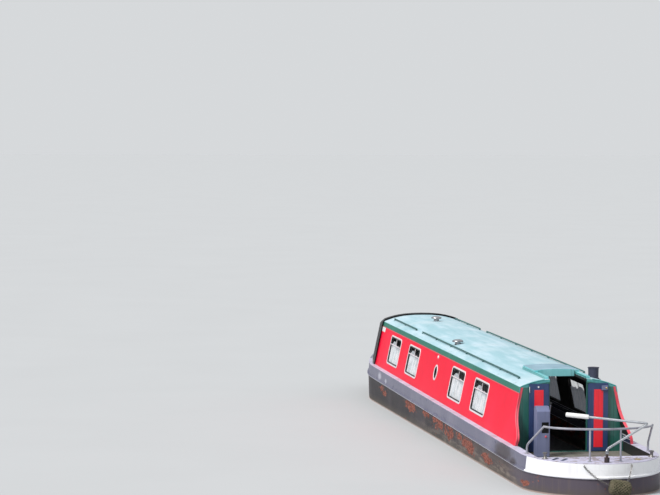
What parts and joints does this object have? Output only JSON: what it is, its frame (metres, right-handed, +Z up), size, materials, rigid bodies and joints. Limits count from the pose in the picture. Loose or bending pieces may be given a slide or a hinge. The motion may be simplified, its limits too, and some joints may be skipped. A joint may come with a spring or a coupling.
{
  "type": "narrowboat",
  "caption": "Steel canal narrowboat with a long low cabin, rounded cruiser stern with open deck, tiller, rear doors, sliding hatch and a canvas-covered fore well.",
  "frame": {"origin": "centre of the underside of the base plate, midway along the flat-bottomed hull", "axes": "+X towards the bow, +Y to port, +Z up"},
  "size_m": [16.9876, 2.08, 2.157],
  "materials": {
    "hull_black": "satin black bottom paint with rust",
    "band_grey": "satin blue-grey paint",
    "deck_paint": "satin pale lilac deck paint",
    "cabin_red": "gloss red paint",
    "roof_paint": "matt pale blue-green paint",
    "trim_green": "gloss dark green paint",
    "door_navy": "gloss navy paint",
    "boards": "worn boards",
    "canvas": "black coated canvas",
    "window": "anodised frame round a pane",
    "rail_white": "gloss white paint",
    "steel": "galvanised",
    "tiller_steel": "polished",
    "grip_white": "white paint",
    "rope": "weathered rope",
    "bronze": "dull bronze",
    "engine": "engine enamel"
  },
  "bodies": {
    "boat": {"base_plate": "hull_black", "stern_shell": "hull_black", "hull_side_port": "hull_black", "hull_side_starboard": "hull_black", "bow_shell": "hull_black", "mooring_stud_port": "hull_black", "mooring_stud_starboard": "hull_black", "bow_mooring_post": "hull_black", "stern_tube": "hull_black", "rubbing_strake_port": "band_grey", "rubbing_strake_starboard": "band_grey", "foredeck": "band_grey", "control_pedestal": "band_grey", "side_deck_port": "deck_paint", "side_deck_starboard": "deck_paint", "stern_deck": "deck_paint", "cabin_side_port": "cabin_red", "cabin_side_starboard": "cabin_red", "cabin_roof": "roof_paint", "roof_side_port": "roof_paint", "roof_side_starboard": "roof_paint", "rear_bulkhead": "trim_green", "front_bulkhead": "trim_green", "hatch_runner_port": "trim_green", "hatch_runner_starboard": "trim_green", "handrail_port_aft": "trim_green", "handrail_port_fore": "trim_green", "handrail_starboard_aft": "trim_green", "handrail_starboard_fore": "trim_green", "cratch_board": "door_navy", "chimney": "door_navy", "deck_boards": "boards", "cabin_floor": "boards", "cratch_cover": "canvas", "window_port_1": "window", "window_port_2": "window", "window_port_3": "window", "window_port_4": "window", "window_starboard_1": "window", "window_starboard_2": "window", "window_starboard_3": "window", "window_starboard_4": "window", "porthole_port": "window", "porthole_starboard": "window", "guard_rail": "rail_white", "fender_chain_port": "steel", "fender_chain_starboard": "steel", "roof_vent_1": "steel", "roof_vent_2": "steel", "stern_fender": "rope", "bow_fender": "rope", "engine_block": "engine"},
    "port_door": {"rear_door_port": "door_navy"},
    "starboard_door": {"rear_door_starboard": "door_navy"},
    "hatch": {"sliding_hatch": "roof_paint"},
    "steering": {"rudder": "hull_black", "tiller": "tiller_steel", "tiller_grip": "grip_white"},
    "propeller": {"propeller": "bronze"}
  },
  "joints": [
    {"name": "port_door_hinge", "type": "hinge", "parent": "boat", "child": "port_door", "pos_m": [-6.12, 0.304, 1.47], "axis": [0, 0, 1], "range_deg": [0, 180]},
    {"name": "starboard_door_hinge", "type": "hinge", "parent": "boat", "child": "starboard_door", "pos_m": [-6.12, -0.304, 1.47], "axis": [0, 0, -1], "range_deg": [0, 180]},
    {"name": "hatch_slide", "type": "slide", "parent": "boat", "child": "hatch", "axis": [-1, 0, 0], "range_m": [0, 0.695]},
    {"name": "steering_pivot", "type": "hinge", "parent": "boat", "child": "steering", "pos_m": [-8.3, 0, 0.6], "axis": [0, 0, 1], "range_deg": [-130, 0]},
    {"name": "propeller_shaft", "type": "hinge", "parent": "boat", "child": "propeller", "pos_m": [-7.89, 0, 0.3], "axis": [1, 0, 0], "continuous": true}
  ]
}
